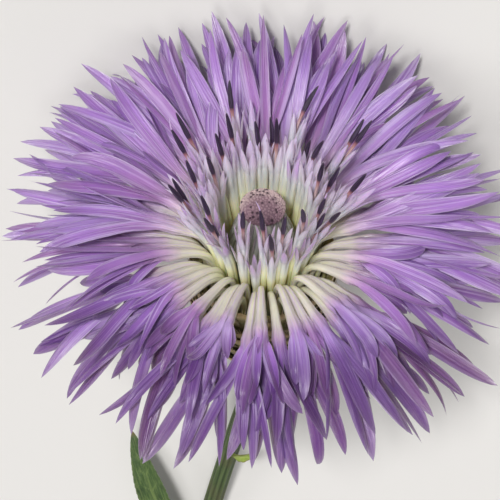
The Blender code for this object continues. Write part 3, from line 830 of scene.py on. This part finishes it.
def corolla(
    line, radii, bearing, lobes, first_turn, seed, tint, wall, columns, depth, opening, pocket, painted_front_shade=0
):
    """Skins of a floret: a thin tube around the line, whose wall thins to nothing between the lobes at
    the rim, and lobes that go on from their shares of the rim. A lobe follows its own line, turns its
    width from the rim's chord to its face, is channelled by its fold, and is lens-shaped. Outer and
    inner skins meet at its edges and tip, and the inner one reaches down to the pocket."""
    around = len(lobes) * columns
    along = unit(np.gradient(line, axis=0))
    across = spoke(bearing + QUARTER)
    turns = first_turn + FULL_TURN * np.arange(around)[:, None] / around
    spokes = np.cos(turns) * across + np.sin(turns) * np.cross(along, across)[:, None]
    stations = len(line)
    radii = radii[:, None]
    u = np.linspace(-1, 1, columns + 1)[None]
    reach = np.linspace(0, 1, stations)[:, None]
    travelled = lengths_along(line)[:, None]
    thin = smooth((reach - 0.8) / 0.2)
    sheets = []
    for number, (ahead, face, length, half, fold) in enumerate(lobes):
        out = spokes[:, (number * columns + np.arange(columns + 1)) % around]
        middle = line[:, None] + out * (radii * (1 - 0.07 * u ** 2 * (1 - thin)))[:, :, None]
        thickness = out * (0.5 * wall * (1 - thin * u ** 2))[:, :, None]
        half = half[:, None]
        t = np.linspace(0, 1, len(half) + 1)[1:, None]
        root = middle[-1]
        path = 0.5 * (root[0] + root[-1]) + np.cumsum(ahead * length / len(half), axis=0)
        edge = unit(root[-1] - root[0])
        turn = smooth(t / opening)
        sideways = unit(edge * (1 - turn) + face * np.sign(face[0] @ edge) * turn)
        sideways = unit(sideways - ahead * (sideways * ahead).sum(axis=1, keepdims=True))[:, None]
        outward = np.cross(sideways, ahead[:, None])
        bulge = fold * half * (1 - u ** 2)
        surface = path[:, None] + sideways * (half * u)[:, :, None] + outward * bulge[:, :, None]
        joined = smooth(t / 0.2)[:, :, None]
        petal = (root + along[-1] * (t * length)[:, :, None]) * (1 - joined) + surface * joined
        normal = unit(out[-1] * (1 - joined) + outward * joined)
        petal_depth = normal * (0.5 * depth * (1 - u ** 2) * (1 - t ** 6))[:, :, None]
        middles = np.concatenate([middle, petal])
        middles += lifted(middles)
        depths = np.concatenate([thickness, petal_depth])
        zone = np.concatenate([reach, 1 + t])
        # The second tone number grows towards the lobes' edges, where the finishes paint a pale
        # highlight.
        rim = np.abs(u) * smooth((zone - 0.85) / 0.4)
        # Painted shade: the front lobes' reach is pushed on, so that the petal finish darkens them.
        zone += painted_front_shade * np.concatenate([0.08 * reach ** 6, 0.08 + 0.92 * smooth(t / 0.35)])
        width = np.concatenate([radii * math.pi / len(lobes) * u, half * u])
        gone = np.concatenate([travelled, travelled[-1] + t * length])
        for side, start in ((1, 0), (-1, stations - pocket)):
            lay, tone = (width[start:], gone[start:], seed), (zone[start:], rim[start:], tint)
            foot = on_head(line[start] + lifted(line[start]))
            sheets.append(sheet(on_head((middles + side * depths)[start:]), lay, tone, side < 0, foot))
    return sheets


def lance(t, root, peak, bluntness, power):
    """A lobe's half-width as a share: from root it rises as a sine to 1 at the peak, then falls as
    1 less the rest of the way raised to the bluntness, all to a power that draws out the tip."""
    rising = root + (1 - root) * np.sin(QUARTER * np.minimum(t / peak, 1))
    falling = (1 - np.clip((t - peak) / (1 - peak), 0, 1) ** bluntness) ** power
    return rising * falling


def disc_finish():
    material, tree, tone = new_finish("Disc floret", 0.36, 0.8)
    streaks = fibre(tree, 3.2, 0.1)
    # The yellow-green towards the tube's foot is partly its own colour, partly painted glow of light
    # through the tube.
    colour = ramp(
        maths("MULTIPLY", tone[0], 0.5),
        (0, (226, 226, 128)), (0.24, (246, 244, 158)), (0.4, (254, 251, 212)),
        (0.52, (254, 248, 244)), (0.72, (248, 232, 250)), (1, (218, 184, 236)),
    )
    colour = coats(colour, (streaks[0], 0.3, 1, 0.3, (226, 212, 226)))
    violet = maths("MULTIPLY", spread(tone[2], 0.4, 1, 0, 0.75), spread(tone[0], 0.8, 1.6))
    colour = blend(violet, colour, (188, 148, 212))
    # Painted highlight: a pale line along the lobes' edges.
    colour = coats(colour, (tone[1], 0.7, 1, 0.5, (240, 230, 242)))
    return finished(material, colour, streaks[0], 0.05)


def anther_finish():
    material, tree, tone = new_finish("Anther tube", 0.4)
    streaks = fibre(tree, 5, 0.2)
    colour = ramp(
        tone[0], (0, (232, 214, 210)), (0.3, (222, 190, 184)), (0.4, COLLAR), (0.47, (176, 118, 122)),
        (0.53, ANTHER_PLUM), (0.93, (40, 28, 48)), (0.98, (88, 66, 92)), (1, (150, 124, 150)),
    )
    colour = coats(colour, (streaks[0], 0.4, 1, 0.4, (96, 74, 116)))
    return finished(material, colour, streaks[0], 0.08)


def make_disc_floret(index, group, place, material, replaced):
    """A corolla whose five lobes stand close around the anthers. Returns the line beyond its throat."""
    _, first, step, ring, lean, more, longer, girth = group
    chance = np.random.default_rng(200 + index)
    throat = DISC_TUBE + chance.uniform(*longer)
    bearing = math.radians(first + step * place + chance.uniform(-3, 3))
    outer = lean + more * (place % 2)
    back = (0.5 + 0.5 * math.sin(bearing)) ** 0.35
    end_rise = math.radians(90 - (18 + 20 * outer) * back + chance.uniform(-4, 4))
    throat += DISC_EXTRA * back * max(0.35 + 0.65 * outer, 0) + chance.uniform(1, 9) * (1 - back)
    stations = np.concatenate([np.linspace(0, throat, 22), np.linspace(throat + 0.5, throat + 15, 30)])
    line = tube_line(bearing, ring, end_rise, stations, (12, 30))
    radii = np.interp(stations[:22], [0, 5, 14, throat - 4, throat], [0.62, 0.58, 0.66, 0.86, 1])
    along = unit(line[22] - line[20])
    across = spoke(bearing + QUARTER)
    over = np.cross(along, across)
    first_turn = chance.uniform(0, 2)
    t = np.linspace(0, 1, DISC_LOBE_ROWS + 1)[1:]
    lobes = []
    for number in range(DISC_LOBES):
        turn = first_turn + FULL_TURN * (number + 0.5) / DISC_LOBES
        out = math.cos(turn) * across + math.sin(turn) * over
        splay = np.radians(chance.uniform(2, 11) + chance.uniform(-6, 16) * t[:, None] ** 2)
        ahead = np.cos(splay) * along + np.sin(splay) * out
        face = np.broadcast_to(math.cos(turn) * over - math.sin(turn) * across, ahead.shape)
        length = DISC_LOBE_LENGTH * chance.uniform(0.85, 1.2)
        half = girth * chance.uniform(0.66, 0.88) * lance(t, 0.9, 0.3, 2, 0.95)
        lobes.append((ahead, face, length, half, 0.35))
    shape = dict(wall=0.3, columns=4, depth=0.22, opening=0.5, pocket=5)
    chances = dict(first_turn=first_turn, seed=chance.uniform(0, 50), tint=chance.uniform())
    sheets = corolla(line[:22], radii * girth, bearing, lobes, **chances, **shape)
    skin(f"disc_corolla_{index + 1:02d}", sheets, material, replaced)
    return line[21:], across, chance


def make_disc_florets():
    """Corollas, then anther tubes for the whole main ring and every third of the others: radius 0.6 mm
    over the collar, five fine grooves, and a tapered tip. Thin styles stand out of every third tube."""
    corolla_skin = disc_finish()
    tubes, styles = [], []
    t = np.clip(np.linspace(-0.04, 1.04, 28), 0, 1)
    turns = FULL_TURN * np.arange(21) / 20
    groove = 1 - 0.08 * (0.5 - 0.5 * np.cos(5 * turns)) ** 2
    girth = np.interp(t, [0, 0.4, 0.5, 0.62, 0.82, 0.95, 1], [0.36, 0.38, 0.5, 0.62, 0.48, 0.26, 0.06])
    girth[[0, -1]] = 0
    t = t[:, None]
    florets = [(group, place) for group in DISC_GROUPS for place in range(group[0])]
    for index, (group, place) in enumerate(florets):
        main = group is DISC_GROUPS[0]
        replaced = [f"disc_floret_{index + 1:02d}"] if main else []
        line, across, chance = make_disc_floret(index, group, place, corolla_skin, replaced)
        if not main and index % 3:
            continue
        sway = across * chance.normal(0, 1.4) + UP * chance.normal(0, 0.3)
        distance = 1.5 + (ANTHER_RISE + ANTHER_LENGTH - 1.5) * t[:, 0]
        path = points_at(distance, lengths_along(line), line) + sway * t ** 2
        tube = rings(path, girth[:, None] * groove, 20, across)
        tubes.append(sheet(on_head(tube), (turns * 0.6, t * 9, float(index)), (t, 0.5, 0.5)))
        if index % 3 == 1:
            ahead = unit(path[-2:-1] - path[-4:-3])
            bend = (across * chance.uniform(-0.5, 0.5) + UP * 0.2)[None]
            length = np.array([chance.uniform(1.6, 3)])
            threads, along = spikes(path[-3:-2], ahead, bend, length, np.array([0.16]), 6, 8, 3)
            lay, tone = (0, along * 3, 0), (1.6 + 0.2 * along, 0, 0.9)
            styles.append(sheet(on_head(threads[0]), lay, tone))
    skin("anther_tubes", tubes, anther_finish())
    skin("styles", styles, corolla_skin)


make_disc_florets()


# Ray florets: sterile and showy, in three whorls around the cup's rim, with more between them. A thin
# cream tube bends over the rim, widens, and splits into five or six long pointed lavender lobes, some
# twisted or curled back. The stretch at a lobe's bearing makes it longer at the back and the sides.

RAYS_PER_WHORL = 20
BETWEEN_RAYS = 15
RAY_TUBE = 26
RAY_LOBE_ROWS = 22
RAY_LOBE_WIDTH = 3.4
LARGEST_ROLL = math.radians(64)
HALF_WIDTH = 59.5
STRETCH_BEARINGS = [0, 20, 60, 90, 120, 150, 170, 184, 198, 215, 300, 322, 342, 360]
STRETCH = [0.03, 0.06, 0.06, 0.09, 0.07, 0.09, 0.09, 0.12, 0.04, 0, 0, 0.07, 0.11, 0.03]

# Each whorl's first bearing, ring, the distance where its tubes bend, their rise and what the back adds
# to it, the lobes' length, then for the front what its tubes add, the share of length and of width that
# its lobes keep, and how much painted shade darkens its lobes there.
WHORLS = {
    "lower": (0, 13.1, 9.8, 2, 21, 34.5, 2, 0.92, 1.08, 0.95),
    "middle": (9, 11.9, 11, 12, 21.5, 34, 3.5, 0.9, 0.98, 0.75),
    "upper": (0, 10.9, 12.2, 23, 21, 31.5, 4.5, 0.56, 0.78, 0.4),
    "between": (5, 11.4, 11.6, 17.5, 21, 32, 4, 0.62, 0.84, 0.55),
}


def petal_finish():
    """Cream tubes and lavender lobes. The coats of veins, tints and pale stripes of painted sheen count
    past the throat.
    """
    material, tree, tone = new_finish("Ray petal", 0.28, 0.4)
    sheen = {"Sheen Weight": 0.12, "Sheen Roughness": 0.35, "Sheen Tint": paint(232, 222, 255)}
    wire(tree.nodes[SHADER], sheen)
    streaks, blotches, painted_sheen_bands = fibre(tree, 1.1, 0.04), mottle(tree, 7), fibre(tree, 0.42, 0.02)
    past_throat = spread(tone[0], 0.9, 1.3)
    colour = ramp(
        maths("MULTIPLY", tone[0], 0.5),
        (0, (190, 190, 120)), (0.14, (220, 221, 166)), (0.3, (224, 224, 196)), (0.45, (220, 213, 198)),
        (0.55, (210, 173, 206)), (0.65, (189, 141, 207)), (0.82, (174, 127, 208)), (1, (160, 113, 197)),
    )

    def lobe_coat(value, low, high, amount, tint):
        factor = maths("MULTIPLY", spread(value, low, high, 0, amount), past_throat)
        return blend(factor, colour, tint)

    colour = lobe_coat(streaks[0], 0.3, 1, 0.5, (122, 82, 152))
    # Fine pale veins, which also stand in for painted silky highlights.
    colour = coats(colour, (streaks[1], 0.5, 1, 0.5, (222, 198, 242)))
    colour = lobe_coat(tone[2], 0.5, 1, 0.5, (158, 106, 162))
    colour = lobe_coat(tone[2], 0.4, 0, 0.35, (176, 152, 212))
    # Painted highlight: a pale line along the lobes' edges.
    colour = coats(colour, (tone[1], 0.89, 0.98, 0.6, (234, 218, 246)))
    # Painted sheen: broad pale stripes along the lobes.
    colour = lobe_coat(painted_sheen_bands[0], 0.7, 1, 0.55, (214, 188, 238))
    colour = coats(colour, (blotches[0], 0.3, 1, 0.16, (138, 100, 168)))
    # Lobes deepen a little towards their tips; the front lobes, whose reach runs further, darken much
    # more, which is painted shade.
    colour = blend(spread(tone[0], 1.6, 2.35, 0, 0.85), colour, (148, 117, 158), "MULTIPLY")
    return finished(material, colour, maths("ADD", streaks[0], streaks[1]), 0.07)


def make_ray_floret(name, whorl, bearing, seed, material, replaced):
    """The tube's line and radii, then each lobe: it leaves in line with the tube, swings out over two
    fifths of its length, droops towards its tip, and turns its face up with a roll and a twist."""
    _, ring, bend, rise, back, longest, front_tube, front_lobe, front_width, painted_front_shade = whorl
    chance = np.random.default_rng(seed)
    lean = math.sin(bearing)
    tube_rise = math.radians(rise + back * lean + chance.uniform(-5, 5))
    droop = math.radians(23 - 11 * lean)
    front = smooth(-lean)
    tube = RAY_TUBE + front_tube * front
    stations = np.concatenate([np.linspace(0, 8, 5), np.linspace(10, tube, 17)])
    line = tube_line(bearing, ring, tube_rise, stations, (bend, 24))
    places = [0, 4, 9.8, 15, 19, tube - 3, tube]
    radii = np.interp(stations, places, [0.62, 0.54, 0.5, 0.52, 0.6, 0.92, 1.45])
    count = (5, 6, 5, 5, 6, 5)[seed % 6]
    first_turn = chance.uniform(0, FULL_TURN)
    across = spoke(bearing + QUARTER)
    t = np.linspace(0, 1, RAY_LOBE_ROWS + 1)[1:]
    ease = smooth(t / 0.45)
    lobes = []
    for number in range(count):
        turn = first_turn + FULL_TURN * (number + 0.5) / count
        swing = math.radians(21 * math.cos(turn) + chance.uniform(-8, 8))
        lift = math.radians(5 * math.sin(turn) + chance.uniform(-2, 2))
        tip_droop = droop * chance.uniform(0.6, 1.3)
        sway = math.radians(chance.normal(0, 10))
        curl = math.radians(chance.normal(0, 18 + 10 * front))
        stray = chance.uniform() < 0.12 + 0.16 * front
        sway += math.radians(30) * stray * chance.choice([-1, 1])
        lobe_rise = tube_rise + lift * ease - tip_droop * t + curl * smooth((t - 0.55) / 0.6)
        ahead = heading(bearing + swing * ease + sway * t ** 2, lobe_rise)
        over = unit(np.cross(ahead, across))
        roll = math.radians(chance.normal(0, 26)) + math.radians(chance.normal(0, 34)) * t[:, None]
        roll = LARGEST_ROLL * np.tanh(roll / LARGEST_ROLL)
        face = np.cross(over, ahead) * np.cos(roll) + over * np.sin(roll)
        towards = math.degrees(bearing + swing)
        length = longest * (1.03 - 0.3 * chance.uniform() ** 1.8) * (1 - (1 - front_lobe) * front)
        length *= 1 + np.interp(towards % 360, STRETCH_BEARINGS, STRETCH)
        length *= 1 - 0.24 * math.exp(-(((towards - 266) / 8) ** 2))
        length *= 1 - stray * chance.uniform(0.25, 0.5)
        room = (HALF_WIDTH - abs(line[-1, 0])) / max(abs(math.cos(math.radians(towards))), 0.2)
        half = 0.5 * RAY_LOBE_WIDTH * chance.uniform(0.74, 1.14) * (1 + (front_width - 1) * front)
        peak, bluntness = chance.uniform(0.5, 0.66), chance.uniform(2.2, 3)
        half = half * lance(t, 0.42, peak, bluntness, chance.uniform(0.75, 0.95))
        lobes.append((ahead, face, min(length, room), half, -chance.uniform(0.08, 0.4)))
    shape = dict(wall=0.4, columns=8, depth=0.2, opening=0.4, pocket=6)
    chances = dict(first_turn=first_turn, seed=chance.uniform(0, 90), tint=chance.uniform())
    # Painted shade, only on the lobes at the front, those turned away from the surface.
    painted_front_shade *= front * chance.uniform(0.7, 1.2)
    sheets = corolla(line, radii, bearing, lobes, **chances, **shape, painted_front_shade=painted_front_shade)
    skin(name, sheets, material, replaced)


PETAL = petal_finish()
for whorl_number, (title, whorl) in enumerate(WHORLS.items()):
    rays = BETWEEN_RAYS if title == "between" else RAYS_PER_WHORL
    for index in range(rays):
        seed = 1000 + 100 * whorl_number + index
        jitter = np.random.default_rng(seed + 50000).uniform(-3, 3)
        bearing = math.radians(whorl[0] + 360 / rays * index + jitter)
        stands_for_solid = index % 2 == 0 and title != "between"
        replaced = [f"ray_floret_{title}_{index // 2 + 1:02d}"] if stands_for_solid else []
        make_ray_floret(f"ray_{title}_{index + 1:02d}", whorl, bearing, seed, PETAL, replaced)


# Stage: a plain pale floor under an even pale sky, with a far key lamp from the upper left of the view
# and weaker, softer ones above, at the side and behind, each given by its direction, its angle in
# degrees and its strength. The camera looks down at 63 degrees from in front of the head, and aims a
# little above and left of the cup's mouth.

FLOOR_PALE = (222, 220, 217)
FLOOR_REACH = 2.5
SKY_PALE = (240, 240, 242)
SKY_LIGHT = 0.22
SKY_SEEN = 0.85
CAMERA_RISE = math.radians(63)
CAMERA_DISTANCE = 450
SENSOR_WIDTH = 36
VIEW_WIDTH = 115
AIM_SHIFT = 2.8
LAMPS = [
    ("key lamp", (-0.20, 0.50, 0.84), 10, 2.1),
    ("top lamp", (-0.16, -0.10, 0.98), 24, 0.85),
    ("side lamp", (-0.80, 0.20, 0.56), 20, 0.4),
    ("back lamp", (0.35, -0.74, 0.57), 40, 0.2),
]

mesh = bpy.data.meshes.new("floor")
corners = [(x * FLOOR_REACH, y * FLOOR_REACH, 0) for x, y in ((-1, -1), (1, -1), (1, 1), (-1, 1))]
mesh.from_pydata(corners, [], [(0, 1, 2, 3)])
material = bpy.data.materials.new("Pale floor")
material.use_nodes = True
wire(material.node_tree.nodes[SHADER], {"Base Color": paint(*FLOOR_PALE), "Roughness": 0.9})
mesh.materials.append(material)
new_object("floor", mesh)

world = bpy.data.worlds.new("pale sky")
world.use_nodes = True
to_camera = node(world.node_tree, "LightPath").outputs["Is Camera Ray"]
light = spread(to_camera, 0, 1, SKY_LIGHT, SKY_SEEN)
wire(world.node_tree.nodes["Background"], {"Color": paint(*SKY_PALE), "Strength": light})
bpy.context.scene.world = world

for title, towards, angle, strength in LAMPS:
    lamp = bpy.data.lights.new(title, "SUN")
    lamp.angle = math.radians(angle)
    lamp.energy = strength
    lamp.color = (1, 0.995, 0.985)
    new_object(title, lamp).rotation_euler = Vector(towards).to_track_quat("Z", "Y").to_euler()

camera = bpy.data.cameras.new("camera")
camera.sensor_width = SENSOR_WIDTH
camera.lens = SENSOR_WIDTH * CAMERA_DISTANCE / VIEW_WIDTH
right, back = np.array([1, 0, 0]), heading(QUARTER, CAMERA_RISE)
up = np.cross(back, right)
place = (MOUTH + AIM_SHIFT * (up - right) + CAMERA_DISTANCE * back) * MM
rows = [*zip(right, up, back, place), (0, 0, 0, 1)]
carrier = new_object("camera", camera)
carrier.matrix_world = Matrix(rows)
bpy.context.scene.camera = carrier
bpy.context.scene.view_settings.view_transform = "Standard"
